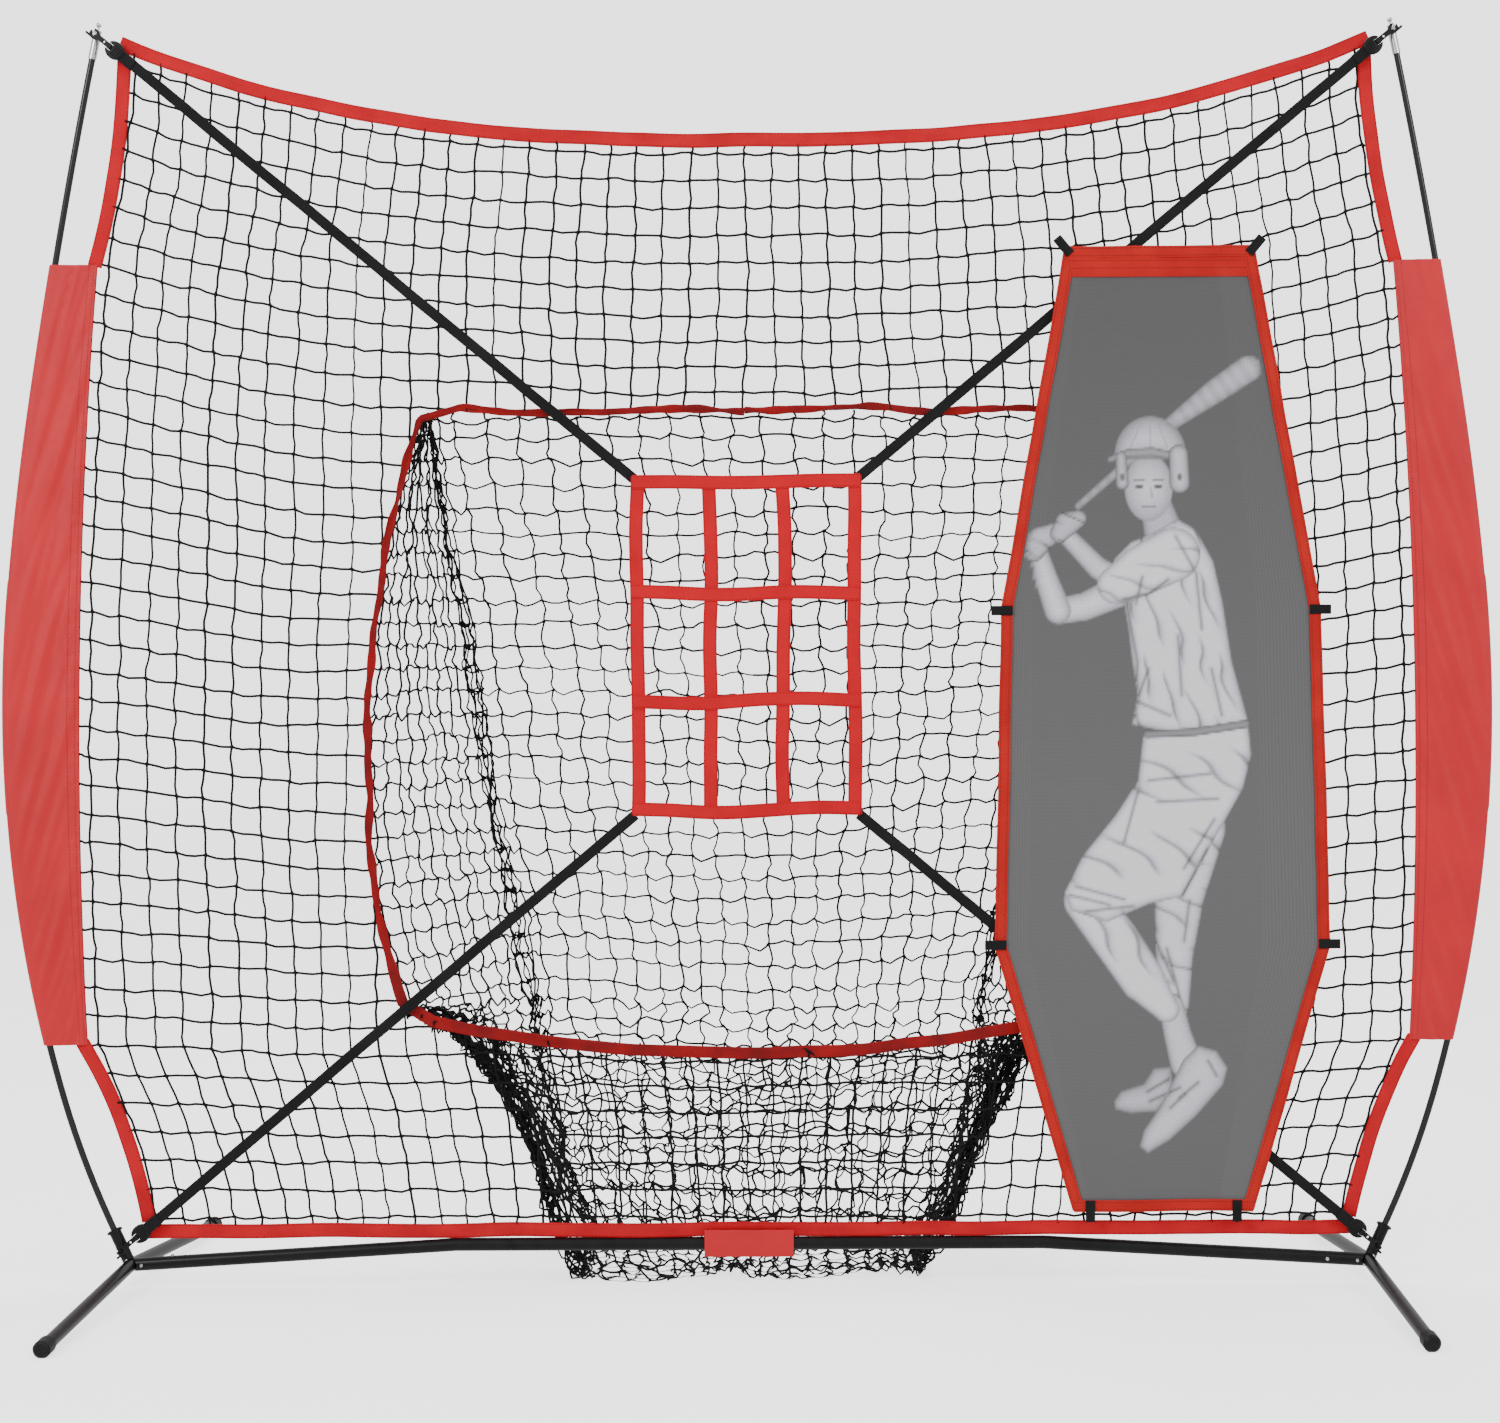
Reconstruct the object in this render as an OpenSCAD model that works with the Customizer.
/* [Stand] */
// Height of the pole tips above the floor
tip_h = 2134; // [1900:1:2300]
// Half the distance between the two base corners
base_half = 1043; // [900:1:1150]
// Height of the base corner's centre
corner_z = 40; // [34:1:50]
// How far each foot reaches in front of and behind the net
foot_reach = 455; // [380:1:520]
// Outward turn of the front leg, degrees
front_turn = 2; // [0:0.5:6]
// Inward turn of the rear leg, degrees
rear_turn = 4.5; // [0:0.5:8]
// Outer diameter of the base tube
tube_d = 22; // [20:1:25]
// Wall of the base tube
tube_wall = 1.5; // [1:0.1:2]
// Outer diameter of a foot cap
cap_d = 28; // [26:1:32]

/* [Crossbar] */
// Height of the raised middle of the crossbar
bar_z = 72; // [60:1:90]
// Half the distance between the crossbar's two bends
bend_half = 495; // [440:1:560]
// Where the crossbar plugs into its corner stub
stub_end = 950; // [900:1:980]
// Half the length of the middle section
mid_half = 400; // [300:1:430]
// Diameter of a spring push-button
button_d = 6; // [5:0.5:7]

/* [Poles] */
// Fibreglass rod diameter
rod_d = 11; // [9:0.5:13]
// Outer diameter of the metal pole socket
socket_d = 20; // [18:1:22]
// Outward lean of the pole where it leaves the socket, degrees
foot_lean = 25; // [20:0.5:28]
// Inward lean of the pole at its tip, degrees
tip_lean = 11.5; // [9:0.5:14]

/* [Net] */
// Thickness kept for the netting
net_t = 2; // [1:0.5:4]
// Width of the red edge binding
trim_w = 21; // [15:1:30]
// Height of the bottom binding's centre
hem_z = 96; // [92:1:110]
// Height of the top binding at mid span
top_z = 1931; // [1800:1:2000]
// Lowest and highest point of the side sleeves
sleeve_z = [411, 1725];

/* [Strike zone] */
// Half the distance between the outer uprights
zone_half = 182; // [150:1:220]
// Height of the lowest rung
zone_z = 802; // [700:1:900]
// Rise from one rung to the next
rung_rise = 184; // [150:1:200]
// Width of the strike zone webbing
zone_w = 19; // [15:1:26]
// Width of the black straps
strap_w = 18; // [15:1:26]
// Distance of the strap plane in front of the net
strap_gap = 13; // [12.5:0.5:18]

/* [Batter panel] */
// Centre of the batter panel, to the right of the middle
panel_x = 696; // [600:1:760]
// Height of the panel's lower edge
panel_z = 127; // [115:1:200]
// Panel thickness
panel_t = 1.5; // [1:0.5:3]

/* [Hidden] */

black = "#1c1c1e";
steel = "#c9ccd0";
red = "#e8151b";
dark_red = "#a81620";
grey = "#8b8d90";
gap = 0.3;

tube_r = tube_d / 2;
bore_r = tube_r - tube_wall;
insert_r = bore_r - 0.1;
insert_bore_r = insert_r - 1.4;
rod_r = rod_d / 2;

// Legs: both halves of a bent tube fall from the corner to caps that stand on the floor
cap_r = cap_d / 2;
cap_flat = 1;
function leg_turn(front) = front ? front_turn : rear_turn;
function leg_len(front) = (foot_reach - 10) / cos(leg_turn(front));
function leg_fall(front) = asin((corner_z + cap_flat - cap_r) / leg_len(front));
cap_len = 30;
cap_over = 24;

// Crossbar: rises from the corner to the bend, then runs level
bar_rise = atan2(bar_z - corner_z, base_half - bend_half);
stub_insert = 70;
mid_insert = 60;
end_button_at = (base_half - stub_end - 22) / cos(bar_rise);
mid_button_x = mid_half + 25;
button_r = button_d / 2;
button_proud = 3;
button_up = 0;
button_front = -90;
rivet_at = 20;

// Pole: tangent arcs through these heights, each with the pole's outward lean there
pole_top_z = tip_h - 18;
socket_top_z = corner_z + 60;
bow_z = [socket_top_z, 326, 786, 1180, 1500, pole_top_z];
bow_lean = [foot_lean, 16, 4.5, -5, -8.5, -tip_lean];
rod_foot = 17;
socket_len = 66;
bow_x0 = base_half + (socket_top_z - corner_z) * tan(foot_lean);
joint_z = [760, 1440];
ferrule_half = 30;

function bow_r(i) = (bow_z[i + 1] - bow_z[i]) / (sin(bow_lean[i]) - sin(bow_lean[i + 1]));
function bow_x(i) = i == 0 ? bow_x0
    : bow_x(i - 1) + bow_r(i - 1) * (cos(bow_lean[i]) - cos(bow_lean[i - 1]));
function bow_lean_at(i, z) = asin(sin(bow_lean[i]) - (z - bow_z[i]) / bow_r(i));
function bow_arc(z) = max([for (i = [0:len(bow_z) - 2]) if (z >= bow_z[i]) i]);
function pole_lean(z) = z < socket_top_z ? foot_lean : bow_lean_at(bow_arc(z), z);
function pole_x(z) = z < socket_top_z ? bow_x0 - (socket_top_z - z) * tan(foot_lean)
    : let (i = bow_arc(z)) bow_x(i) + bow_r(i) * (cos(pole_lean(z)) - cos(bow_lean[i]));
function stations(z0, z1, n = 11) = [for (i = [0:n]) z0 + (z1 - z0) * i / n];

// Outline helpers, all in the net's plane as [x, z]
function quad_curve(a, b, c, n = 10) =
    [for (i = [0:n]) let (t = i / n) (1 - t) * (1 - t) * a + 2 * t * (1 - t) * b + t * t * c];
function cubic_curve(a, b, c, d, n = 12) =
    [for (i = [0:n]) let (t = i / n, s = 1 - t)
        s * s * s * a + 3 * s * s * t * b + 3 * s * t * t * c + t * t * t * d];
function reversed(p) = [for (i = [len(p) - 1:-1:0]) p[i]];
function flipped(p) = [for (q = p) [-q[0], q[1]]];
function side_way(p, i) = let (a = p[max(i - 1, 0)], b = p[min(i + 1, len(p) - 1)], d = b - a)
    [-d[1], d[0]] / norm(d);
function shifted(p, w) = [for (i = [0:len(p) - 1]) p[i] + w * side_way(p, i)];
function band(p, w) = concat(shifted(p, w / 2), reversed(shifted(p, -w / 2)));

// Net outline: bottom hem, lower side, sleeve seam, upper side, sagging top
hem_half = 1022;
lower_side = quad_curve([1012, 113], [1030, 280], [1117, 400]);
sleeve_seam = quad_curve([1114, sleeve_z[0]], [1147, 1060], [1092, sleeve_z[1]]);
upper_side = quad_curve([1093, 1738], [1050, 1900], [1045, 2078]);
top_rise = 146;
top_reach = 996;
top_half = 1052;
top_power = 2.6;
top_curve = [for (i = [-16:16]) let (x = top_half * i / 16)
    [x, top_z + top_rise * pow(abs(x) / top_reach, top_power)]];
inset = trim_w / 2 + gap;
net_side = concat(shifted(lower_side, inset), shifted(sleeve_seam, gap), shifted(upper_side, inset));
net_top = [for (p = shifted(top_curve, -inset)) if (abs(p[0]) < 1032) p];
net_outline = concat([[-net_side[0][0], hem_z + inset], [net_side[0][0], hem_z + inset]], net_side,
    reversed(net_top), reversed(flipped(net_side)));

// Pocket mouth: nearly straight top, bulging sides, sagging lower lip
mouth_top = 1476;
lip_z = 392;
lip_half = 532;
lip_rise = 57;
function lip(x) = lip_z + lip_rise * pow(x / lip_half, 2);
mouth_side = cubic_curve([549, 1462], [632, 1250], [690, 760], [582, 479]);
mouth_half = concat([[0, mouth_top - 2], [440, mouth_top], [520, mouth_top - 2]], mouth_side,
    [for (i = [8:-1:1]) let (x = lip_half * i / 8) [x, lip(x)]]);
mouth = concat(mouth_half, [[0, lip_z]], flipped(reversed([for (i = [1:len(mouth_half) - 1]) mouth_half[i]])));
mouth_c = [0, 930];
panel_split = [480, mouth_top - 6];
pocket_wall = 2;
pocket_y = net_t / 2 + gap + pocket_wall / 2;
// Open part of the pocket: height, half width at the mouth and at the back, depth of the back
pocket_rows = [[1470, 546, 540, 6], [1300, 594, 522, 100], [1080, 628, 497, 200], [850, 641, 475, 285],
    [640, 626, 445, 345], [479, 582, 418, 380]];
// Closed bag below the lip: height, share of the lip's width, front and back depth
bag_rows = [[200, 0.68, 36, 402], [4, 0.53, 62, 382]];
bag_back = [418, 392, 310];
lip_steps = 6;

// Straps run from the strike zone's corners to a peg on each pole tip and each pole socket
strap_y = -strap_gap;
strap_t = 1.6;
hook_reach = 34;
buckle_len = 16;
hook_t = 5;
bar_r = 2.25;
hook_bore_r = 2.3;
peg_r = 2.2;
peg_end = strap_gap + hook_t / 2 + 0.8;
bottom_peg_at = 30;
fold_len = 30;
fold_t = 7;
zone_top = zone_z + 3 * rung_rise;
corner_in = 6;
zone_corners = [[zone_half + corner_in, zone_top + corner_in], [zone_half + corner_in, zone_z - corner_in]];
top_peg = [pole_x(pole_top_z - 4), pole_top_z - 4];
bottom_peg = [base_half + bottom_peg_at * sin(foot_lean), corner_z + bottom_peg_at * cos(foot_lean)];
pegs = [top_peg, bottom_peg];
function strap_run(k) = pegs[k] - zone_corners[k];
function strap_angle(k) = atan2(strap_run(k)[1], strap_run(k)[0]);
function hook_bar(k) = pegs[k] - hook_reach * strap_run(k) / norm(strap_run(k));

// Batter panel outline: height above the lower edge and half width
panel_shape = [[0, 155], [448, 282], [1009, 269], [1620, 161.5]];
panel_trim_w = 20;
header_h = 52;
panel_y = strap_y - 7.5;
tab_w = 16;
tab_len = 36;

// Tube and plate helpers
module in_net_plane(t, y = 0) {
    translate([0, y, 0]) rotate([90, 0, 0]) linear_extrude(height = t, center = true) children();
}
// A rod along the pole's curve through the given heights
module swept_rod(stations, r, sides = 16) {
    n = len(stations);
    rings = [for (z = stations, k = [0:sides - 1]) let (a = 360 * k / sides, lean = pole_lean(z))
        [pole_x(z) + r * cos(a) * cos(lean), r * sin(a), z - r * cos(a) * sin(lean)]];
    walls = [for (i = [0:n - 2], k = [0:sides - 1]) let (k1 = (k + 1) % sides)
        [i * sides + k, (i + 1) * sides + k, (i + 1) * sides + k1, i * sides + k1]];
    foot = [for (k = [0:sides - 1]) k];
    head = [for (k = [sides - 1:-1:0]) (n - 1) * sides + k];
    polyhedron(points = rings, faces = concat([foot], walls, [head]));
}
module socket_axis() {
    translate([base_half, 0, corner_z]) rotate([0, foot_lean, 0]) children();
}
module leg_axis(front) {
    turn = front ? -90 + front_turn : 90 + rear_turn;
    translate([base_half, 0, corner_z]) rotate([0, 0, turn]) rotate([0, 90 + leg_fall(front), 0]) children();
}
// One straight half of a leg, cut off square to the net at the corner
module leg_half(front, r, longer = 0) {
    difference() {
        leg_axis(front) translate([0, 0, -5]) cylinder(h = leg_len(front) + 5 + longer, r = r, $fn = 48);
        translate([base_half - 50, front ? -0.02 : -49.98, corner_z - 50]) cube([100, 50, 100]);
    }
}
// Clearance round the leg for the parts that stand on its corner
module leg_clearance() {
    translate([base_half, 0, corner_z]) rotate([90, 0, 0])
        cylinder(h = 120, r = tube_r + 1, center = true, $fn = 48);
}
module stub_axis() {
    translate([base_half, 0, corner_z]) rotate([0, -90 + bar_rise, 0]) children();
}
module each_side() {
    children();
    mirror([1, 0, 0]) children();
}

// Base
module leg() {
    color(black) for (front = [true, false]) difference() {
        leg_half(front, tube_r);
        leg_axis(front) translate([0, 0, -10])
            cylinder(h = leg_len(front) + 20, r = bore_r, $fn = 48);
    }
}
module foot_cap(front) {
    cap_from = leg_len(front) - cap_over;
    color(black) difference() {
        leg_axis(front) difference() {
            union() {
                translate([0, 0, cap_from]) cylinder(h = cap_len - 4, r = cap_r, $fn = 48);
                translate([0, 0, cap_from + cap_len - 4])
                    cylinder(h = 4, r1 = cap_r, r2 = cap_r - 4, $fn = 48);
            }
            cylinder(h = leg_len(front) + 0.05, r = tube_r + 0.05, $fn = 48);
        }
        translate([base_half - 200, -foot_reach - 100, -20]) cube([400, 2 * foot_reach + 200, 20]);
    }
}
module bar_stub(button_turn) {
    color(black) difference() {
        stub_axis() difference() {
            cylinder(h = (base_half - stub_end) / cos(bar_rise), r = tube_r, $fn = 48);
            translate([0, 0, -1]) cylinder(h = 200, r = bore_r, $fn = 48);
            button_hole(end_button_at, button_turn);
        }
        leg_clearance();
    }
}
module button_hole(at, turn) {
    translate([0, 0, at]) rotate([0, 0, turn]) rotate([0, 90, 0])
        cylinder(h = tube_r + 5, r = button_r + 0.08, $fn = 32);
}
module stub_rivet() {
    color(steel) stub_axis() translate([0, 0, rivet_at]) rotate([90, 0, 0])
        translate([0, 0, tube_r + 0.3]) cylinder(h = 1.5, r1 = 3, r2 = 1.8, $fn = 32);
}
module stub_rivets() { each_side() stub_rivet(); }

// Crossbar, the right half: a level tube, a rising tube mitred to it at the bend, and the swaged
// insert that enters the corner stub
module rising_tube(r, extra) {
    start = (base_half - stub_end) / cos(bar_rise) + gap - extra;
    length = (base_half - bend_half) / cos(bar_rise) + 2 - start;
    stub_axis() translate([0, 0, start]) cylinder(h = length, r = r, $fn = 48);
}
module side_bar(button_turn) {
    insert_end = (base_half - stub_end) / cos(bar_rise) - stub_insert;
    color(black) {
        difference() {
            translate([mid_half, 0, bar_z]) rotate([0, 90, 0])
                cylinder(h = bend_half - mid_half, r = tube_r, $fn = 48);
            translate([mid_half - 1, 0, bar_z]) rotate([0, 90, 0])
                cylinder(h = bend_half - mid_half + 2, r = bore_r, $fn = 48);
            translate([mid_button_x, 0, bar_z]) rotate([-90, 0, 0])
                cylinder(h = tube_r + 5, r = button_r + 0.08, $fn = 32);
        }
        difference() {
            rising_tube(tube_r, 0);
            rising_tube(bore_r, 1);
            translate([bend_half - 40, -50, 0]) cube([40.02, 100, 200]);
        }
        stub_axis() difference() {
            translate([0, 0, insert_end]) cylinder(h = 2 * stub_insert, r = insert_r, $fn = 48);
            translate([0, 0, insert_end - 1]) cylinder(h = 2 * stub_insert + 2, r = insert_bore_r, $fn = 48);
            button_hole(end_button_at, button_turn);
        }
    }
}
module middle_crossbar() {
    insert_half = mid_half + mid_insert;
    color(black) translate([0, 0, bar_z]) difference() {
        rotate([0, 90, 0]) union() {
            cylinder(h = 2 * mid_half - 2 * gap, r = tube_r, center = true, $fn = 48);
            cylinder(h = 2 * insert_half, r = insert_r, center = true, $fn = 48);
        }
        rotate([0, 90, 0]) cylinder(h = 2 * insert_half + 2, r = insert_bore_r, center = true, $fn = 48);
        for (s = [-1, 1]) translate([s * mid_button_x, 0, 0]) rotate([-90, 0, 0])
            cylinder(h = tube_r + 5, r = button_r + 0.08, $fn = 32);
    }
}

// A button stands along its own +X: flange inside the tube, pin through both walls, rounded nose
module push_button() {
    color(steel) rotate([0, 90, 0]) {
        translate([0, 0, 5.2]) cylinder(h = 1.2, r = 4, $fn = 32);
        cylinder_from = 6.2;
        translate([0, 0, cylinder_from])
            cylinder(h = tube_r + button_proud - 1 - cylinder_from, r = button_r, $fn = 32);
        translate([0, 0, tube_r + button_proud - 1]) cylinder(h = 1, r1 = button_r, r2 = button_r - 1, $fn = 32);
    }
}
module end_button(turn) {
    stub_axis() translate([0, 0, end_button_at]) rotate([0, 0, turn]) push_button();
}
module mid_button() {
    translate([mid_button_x, 0, bar_z]) rotate([0, 0, 90]) push_button();
}
// A bent leaf spring under each button, at its pressed height, running away along the tube
module leaf_spring() {
    color(steel) {
        translate([1, -2, -5]) cube([0.8, 4, 28]);
        translate([-6.5, -2, -5]) cube([0.8, 4, 28]);
        translate([-6.5, -2, 22.2]) cube([8.3, 4, 0.8]);
    }
}
module button_springs() {
    mirror([1, 0, 0]) stub_axis() translate([0, 0, end_button_at]) rotate([0, 0, button_up]) leaf_spring();
    stub_axis() translate([0, 0, end_button_at]) rotate([0, 0, button_front]) leaf_spring();
    for (s = [0, 1]) mirror([s, 0, 0]) translate([mid_button_x, 0, bar_z]) rotate([0, 0, 90])
        rotate([90, 0, 0]) leaf_spring();
}

// Poles, the right one
module pole_socket() {
    color(black) difference() {
        union() {
            socket_axis() difference() {
                union() {
                    cylinder(h = socket_len, r = socket_d / 2, $fn = 48);
                    translate([0, 0, socket_len - 5]) cylinder(h = 4, r = socket_d / 2 + 3, $fn = 48);
                }
                translate([0, 0, rod_foot - 0.2]) cylinder(h = socket_len, r = rod_r + 0.1, $fn = 48);
            }
            translate([bottom_peg[0], -rod_r - 2, bottom_peg[1]]) rotate([90, 0, 0])
                cylinder(h = peg_end - rod_r - 2, r = peg_r, $fn = 32);
        }
        leg_clearance();
    }
}
module lower_pole() {
    color(black) swept_rod(concat([corner_z + rod_foot * cos(foot_lean)],
        stations(socket_top_z, joint_z[0] - 0.1)), rod_r);
}
module middle_pole() { color(black) swept_rod(stations(joint_z[0] + 0.1, joint_z[1] - 0.1), rod_r); }
module upper_pole() { color(black) swept_rod(stations(joint_z[1] + 0.1, pole_top_z), rod_r); }
module pole_ferrules() {
    color(steel) for (z = joint_z) translate([pole_x(z), 0, z]) rotate([0, pole_lean(z), 0]) difference() {
        cylinder(h = 2 * ferrule_half, r = rod_r + 1.6, center = true, $fn = 48);
        cylinder(h = 2 * ferrule_half + 2, r = rod_r + 0.35, center = true, $fn = 48);
    }
}
module pole_tip() {
    color(steel) {
        translate([pole_x(pole_top_z), 0, pole_top_z]) rotate([0, -tip_lean, 0]) {
            difference() {
                translate([0, 0, -45]) cylinder(h = 49, r = rod_r + 1.25, $fn = 48);
                translate([0, 0, -46]) cylinder(h = 46.1, r = rod_r + 0.15, $fn = 48);
            }
            cylinder_top = 4;
            translate([0, 0, cylinder_top]) cylinder(h = 7, r = 2, $fn = 32);
            translate([0, 0, 13.5]) sphere(r = 4.5, $fn = 32);
        }
        translate([top_peg[0], -rod_r - 0.8, top_peg[1]]) rotate([90, 0, 0])
            cylinder(h = peg_end - rod_r - 0.8, r = peg_r, $fn = 32);
    }
}

// Strap ends, drawn along +X away from the strike zone, with the hook's bar at the origin
module at_bar(k) {
    translate([hook_bar(k)[0], strap_y, hook_bar(k)[1]]) rotate([0, -strap_angle(k), 0]) children();
}
module hook() {
    color(black) difference() {
        union() {
            cylinder(h = 10, r = 4.6, center = true, $fn = 32);
            in_net_plane(hook_t) difference() {
                union() {
                    translate([2, -4.5]) square([hook_reach - 6, 9]);
                    translate([hook_reach, 0]) circle(r = 8.5, $fn = 48);
                    translate([hook_reach + 3, -8.2]) square([9, 4]);
                    translate([hook_reach + 12, -6.2]) circle(r = 2, $fn = 24);
                }
                translate([hook_reach, 0]) circle(r = 4, $fn = 48);
                translate([hook_reach, 0]) rotate(35) translate([0, -2.4]) square([12, 4.8]);
                translate([13, 0]) circle(r = 2, $fn = 24);
            }
        }
        cylinder(h = 12, r = hook_bore_r, center = true, $fn = 32);
    }
}
module buckle() {
    color(black) {
        for (s = [-1, 1]) translate([0, 0, s * 13]) rotate([90, 0, 0])
            linear_extrude(height = 5, center = true) {
                translate([-buckle_len, -2]) square([buckle_len, 4]);
                for (u = [-buckle_len, 0]) translate([u, 0]) circle(r = 3.4, $fn = 32);
            }
        for (u = [-buckle_len, 0]) translate([u, 0, 0]) cylinder(h = 24, r = bar_r, center = true, $fn = 32);
    }
}
module strap(k) {
    run = norm(strap_run(k)) - hook_reach - buckle_len;
    color(black) translate([-buckle_len, 0, 0]) difference() {
        union() {
            translate([-run, -strap_t / 2, -strap_w / 2]) cube([run, strap_t, strap_w]);
            translate([-fold_len, -fold_t / 2, -strap_w / 2 - 0.5]) cube([fold_len, fold_t, strap_w + 1]);
            cylinder(h = strap_w + 1, r = fold_t / 2, center = true, $fn = 32);
        }
        cylinder(h = strap_w + 2, r = bar_r + 0.1, center = true, $fn = 32);
    }
}

// Strike zone webbing: uprights sewn in front of the straps, rungs in front of the uprights
module strike_zone_uprights() {
    color(red) for (i = [0:3]) translate([-zone_half + i * 2 * zone_half / 3 - zone_w / 2,
        strap_y - 2.6, zone_z - zone_w / 2]) cube([zone_w, 1.5, 3 * rung_rise + zone_w]);
}
module strike_zone_rungs() {
    color(red) for (i = [0:3]) translate([-zone_half - zone_w / 2, strap_y - 4.3,
        zone_z + i * rung_rise - zone_w / 2]) cube([2 * zone_half + zone_w, 1.5, zone_w]);
}

// Netting: flat panels round the pocket mouth, cut apart at the mouth's corners
module net_band(z0, z1, x0, x1) {
    in_net_plane(net_t) intersection() {
        difference() {
            polygon(net_outline);
            polygon(mouth);
        }
        translate([x0, z0]) square([x1 - x0, z1 - z0]);
    }
}
module front_net() {
    color(black) {
        net_band(panel_split[1] + gap, 2200, -1300, 1300);
        net_band(0, panel_split[0] - gap, -1300, 1300);
        net_band(panel_split[0], panel_split[1], -1300, 0);
        net_band(panel_split[0], panel_split[1], 0, 1300);
    }
}
module corner_hull(points) {
    hull() for (p = points) translate(p) cube(pocket_wall, center = true);
}
module patch(p) {
    corner_hull([p[0], p[1], p[2]]);
    corner_hull([p[1], p[2], p[3]]);
}
module ball_pocket() {
    last = len(pocket_rows) - 1;
    color(black) {
        for (i = [0:last - 1]) {
            a = pocket_rows[i];
            b = pocket_rows[i + 1];
            for (s = [-1, 1]) patch([[s * a[1], pocket_y, a[0]], [s * a[2], a[3], a[0]],
                [s * b[1], pocket_y, b[0]], [s * b[2], b[3], b[0]]]);
            patch([[-a[2], a[3], a[0]], [a[2], a[3], a[0]], [-b[2], b[3], b[0]], [b[2], b[3], b[0]]]);
        }
        end = pocket_rows[last];
        for (j = [0:1]) {
            bottom = bag_rows[j];
            over = j == 0 ? [end[0], 1, pocket_y, end[3]] : bag_rows[0];
            x0 = end[1];
            for (s = [-1, 1]) patch([[s * x0 * over[1], over[2], over[0]],
                [s * bag_back[j], over[3], over[0]], [s * x0 * bottom[1], bottom[2], bottom[0]],
                [s * bag_back[j + 1], bottom[3], bottom[0]]]);
            patch([for (s = [-1, 1]) [s * bag_back[j], over[3], over[0]],
                for (s = [-1, 1]) [s * bag_back[j + 1], bottom[3], bottom[0]]]);
            for (m = [0:lip_steps - 1]) {
                xs = [for (e = [0, 1]) x0 * (2 * (m + e) / lip_steps - 1)];
                patch([for (x = xs) [x * over[1], over[2], j == 0 ? lip(x) : over[0]],
                    for (x = xs) [x * bottom[1], bottom[2], bottom[0]]]);
            }
        }
        base = bag_rows[1];
        patch([for (s = [-1, 1]) [s * end[1] * base[1], base[2], base[0]],
            for (s = [-1, 1]) [s * bag_back[2], base[3], base[0]]]);
    }
}
module pocket_ribbon() {
    half = 7 / norm(mouth_side[0] - mouth_c);
    color(dark_red) in_net_plane(1.4, -net_t / 2 - gap - 0.7) difference() {
        polygon([for (p = mouth) mouth_c + (1 + half) * (p - mouth_c)]);
        polygon([for (p = mouth) mouth_c + (1 - half) * (p - mouth_c)]);
    }
}

// Edge binding
module binding() { color(red) in_net_plane(net_t + 1.6) children(); }
module top_trim() { binding() polygon(band(top_curve, trim_w)); }
module bottom_trim() {
    binding() translate([-hem_half, hem_z - trim_w / 2]) square([2 * hem_half, trim_w]);
}
module upper_trim() { binding() polygon(band(upper_side, trim_w)); }
module lower_trim() { binding() polygon(band(lower_side, trim_w)); }
// Sleeve: a flat sheet beside the pole and the square channel that the pole runs in
function along_pole(heights, w) = [for (z = heights) [pole_x(z) + w / cos(pole_lean(z)), z]];
module pole_box(heights, r) {
    in_net_plane(2 * r) polygon(concat(along_pole(heights, r), reversed(along_pole(heights, -r))));
}
channel = [rod_r + 2.3, rod_r + 3.1];
module sleeve() {
    heights = stations(sleeve_z[0], sleeve_z[1], 24);
    color(red) difference() {
        union() {
            in_net_plane(3) polygon(concat(sleeve_seam, reversed(along_pole(heights, -channel[0] - 0.4))));
            pole_box(heights, channel[1]);
        }
        pole_box(concat([sleeve_z[0] - 5], heights, [sleeve_z[1] + 5]), channel[0]);
    }
}

// Tab that ties the hem to the crossbar: a wrap behind and below, and a flap that closes in front
tab_half = 75;
tab_drop = 20;
flap_y = tube_r + 1.4;
module centre_tab_wrap() {
    color(red) {
        translate([-tab_half, tube_r + 0.5, bar_z - tab_drop]) cube([2 * tab_half, 1.5, 2 * tab_drop - 6]);
        translate([-tab_half, -tube_r, bar_z - tab_drop]) cube([2 * tab_half, 2 * tube_r + 1, 1.5]);
    }
}
module centre_tab_flap() {
    color(red) translate([-tab_half, -flap_y - 1.5, bar_z - tab_drop])
        cube([2 * tab_half, 1.5, hem_z - bar_z + tab_drop]);
}

// Batter panel
function panel_points(cut = 0) = let (n = len(panel_shape) - 1) [for (i = [0:n])
    [panel_shape[i][1] - 1.05 * cut, panel_z + panel_shape[i][0] + (i == 0 ? cut : i == n ? -cut : 0)]];
module panel_outline(cut = 0) {
    p = panel_points(cut);
    translate([panel_x, 0]) polygon(concat(p, reversed(flipped(p))));
}
module batter_panel_mesh() {
    color(grey) in_net_plane(panel_t, panel_y) panel_outline(panel_trim_w - 6);
}
module batter_panel_trim() {
    color("#d9321f") in_net_plane(1.4, panel_y - panel_t / 2 - 1) difference() {
        panel_outline();
        panel_outline(panel_trim_w);
    }
}
module batter_panel_header() {
    color("#d9321f") in_net_plane(1.4, panel_y - panel_t / 2 - 1) intersection() {
        panel_outline(panel_trim_w + gap);
        translate([0, panel_z + panel_shape[3][0] - header_h]) square([2000, header_h]);
    }
}
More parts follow.
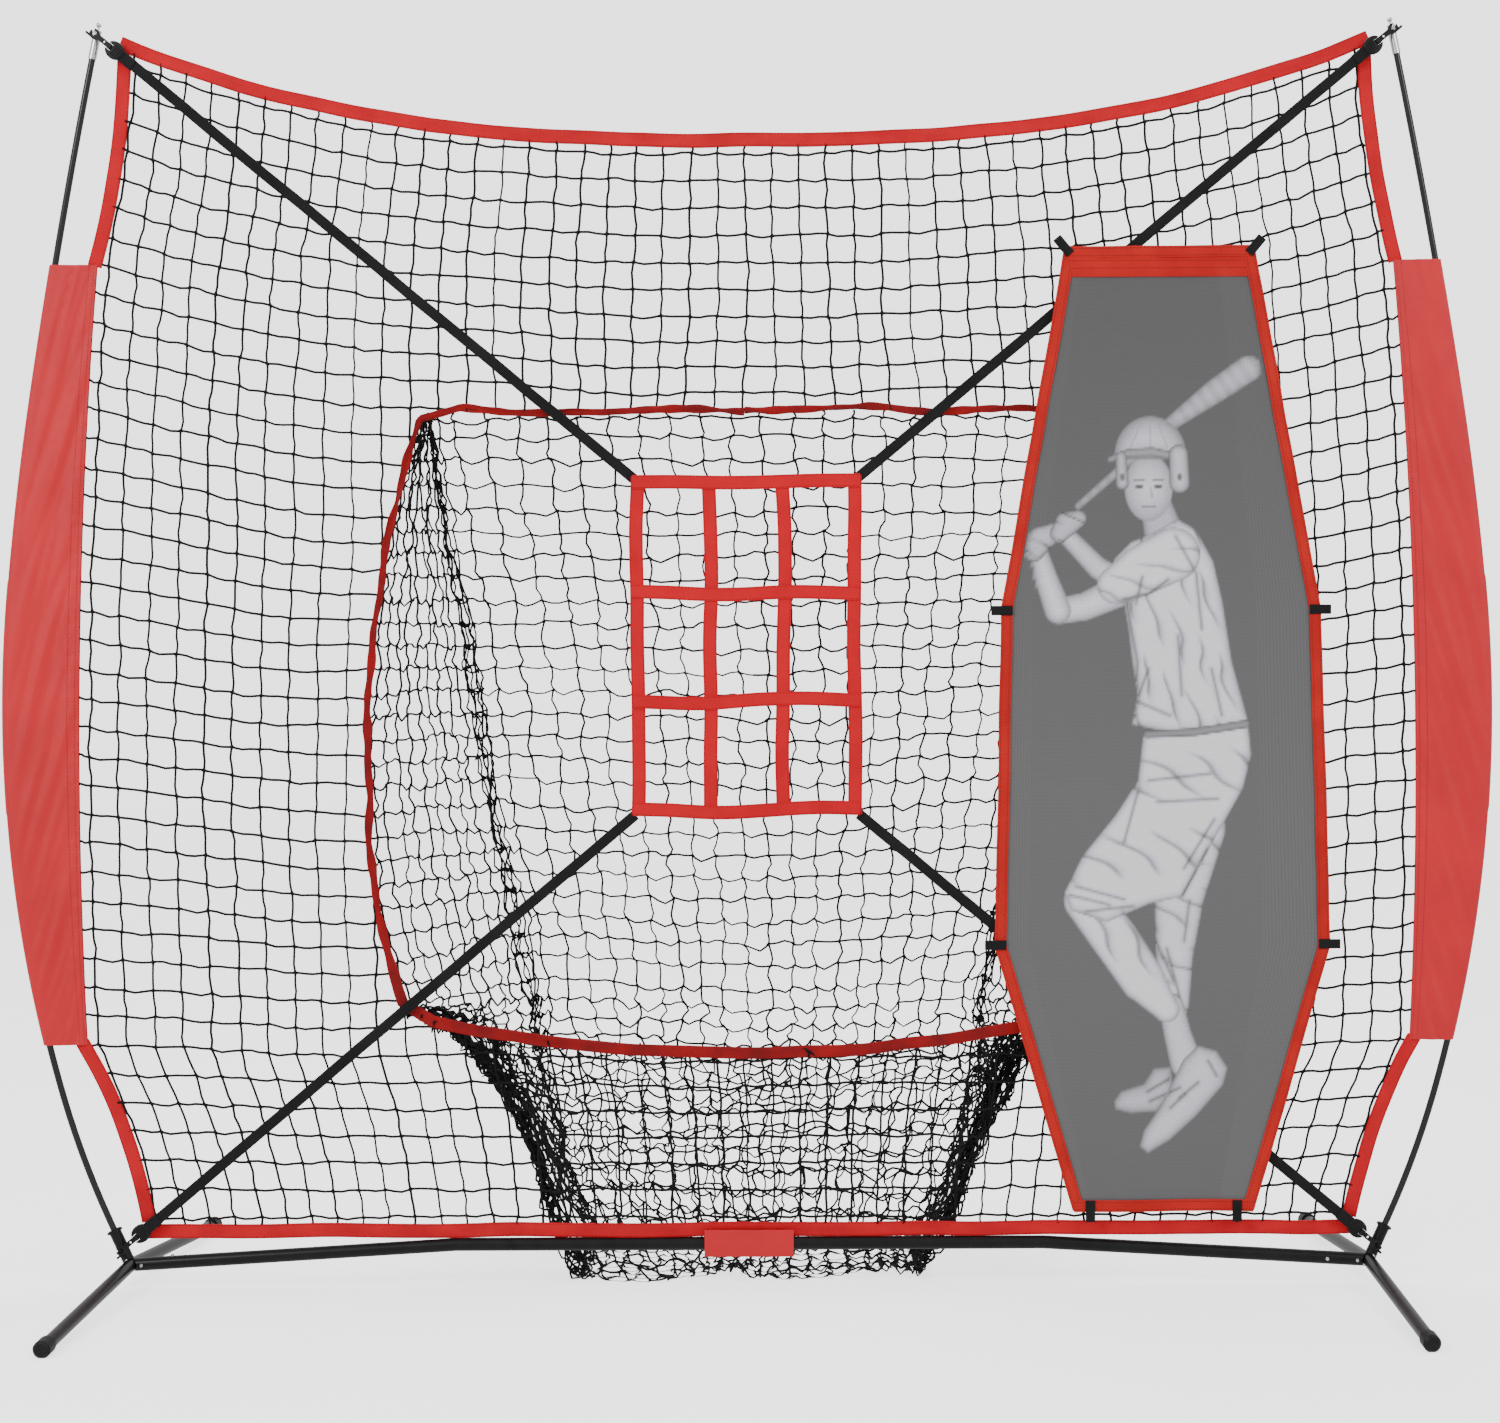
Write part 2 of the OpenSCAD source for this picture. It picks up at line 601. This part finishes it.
// Each tab: where it leaves the panel, which way it points, and whether it turns back to grip the net
module tab(x, z, turn, grips) {
    front = panel_y - panel_t / 2 - 2;
    tab_t = 1.6;
    overlap = 14;
    translate([panel_x + x, front, z]) rotate([0, -turn, 0]) {
        translate([-overlap, -tab_t, -tab_w / 2]) cube([tab_len, tab_t, tab_w]);
        if (grips) translate([tab_len - overlap - tab_t, -tab_t / 2, -tab_w / 2])
            cube([tab_t, -front - net_t / 2 - 2, tab_w]);
    }
}
module batter_panel_tabs() {
    top = panel_z + panel_shape[3][0];
    bottom_tab_x = 123;
    color(black) for (s = [-1, 1]) {
        tab(s * (panel_shape[3][1] - 3), top - 3, s > 0 ? 50 : 130, true);
        tab(s * bottom_tab_x, panel_z + 5, -90, true);
        for (i = [1, 2]) tab(s * (panel_shape[i][1] - 6), panel_z + panel_shape[i][0], s > 0 ? 0 : 180, s > 0);
    }
}

mirror([1, 0, 0]) leg();  // left_leg
leg();  // right_leg
each_side() foot_cap(true);  // front_foot_caps
each_side() foot_cap(false);  // rear_foot_caps
mirror([1, 0, 0]) bar_stub(button_up);  // left_bar_stub
bar_stub(button_front);  // right_bar_stub
stub_rivets();
mirror([1, 0, 0]) side_bar(button_up);  // left_crossbar
middle_crossbar();
side_bar(button_front);  // right_crossbar
mirror([1, 0, 0]) end_button(button_up);  // left_end_button
end_button(button_front);  // right_end_button
mirror([1, 0, 0]) mid_button();  // left_mid_button
mid_button();  // right_mid_button
button_springs();
mirror([1, 0, 0]) pole_socket();  // left_pole_socket
pole_socket();  // right_pole_socket
mirror([1, 0, 0]) lower_pole();  // left_lower_pole
mirror([1, 0, 0]) middle_pole();  // left_middle_pole
mirror([1, 0, 0]) upper_pole();  // left_upper_pole
lower_pole();  // right_lower_pole
middle_pole();  // right_middle_pole
upper_pole();  // right_upper_pole
mirror([1, 0, 0]) pole_ferrules();  // left_pole_ferrules
pole_ferrules();  // right_pole_ferrules
mirror([1, 0, 0]) pole_tip();  // left_pole_tip
pole_tip();  // right_pole_tip
mirror([1, 0, 0]) at_bar(0) hook();  // top_left_hook
at_bar(0) hook();  // top_right_hook
mirror([1, 0, 0]) at_bar(1) hook();  // bottom_left_hook
at_bar(1) hook();  // bottom_right_hook
mirror([1, 0, 0]) at_bar(0) buckle();  // top_left_buckle
at_bar(0) buckle();  // top_right_buckle
mirror([1, 0, 0]) at_bar(1) buckle();  // bottom_left_buckle
at_bar(1) buckle();  // bottom_right_buckle
mirror([1, 0, 0]) at_bar(0) strap(0);  // top_left_strap
at_bar(0) strap(0);  // top_right_strap
mirror([1, 0, 0]) at_bar(1) strap(1);  // bottom_left_strap
at_bar(1) strap(1);  // bottom_right_strap
strike_zone_uprights();
strike_zone_rungs();
front_net();
ball_pocket();
pocket_ribbon();
top_trim();
bottom_trim();
mirror([1, 0, 0]) upper_trim();  // left_upper_trim
upper_trim();  // right_upper_trim
mirror([1, 0, 0]) lower_trim();  // left_lower_trim
lower_trim();  // right_lower_trim
mirror([1, 0, 0]) sleeve();  // left_sleeve
sleeve();  // right_sleeve
centre_tab_wrap();
centre_tab_flap();
batter_panel_mesh();
batter_panel_trim();
batter_panel_header();
batter_panel_tabs();
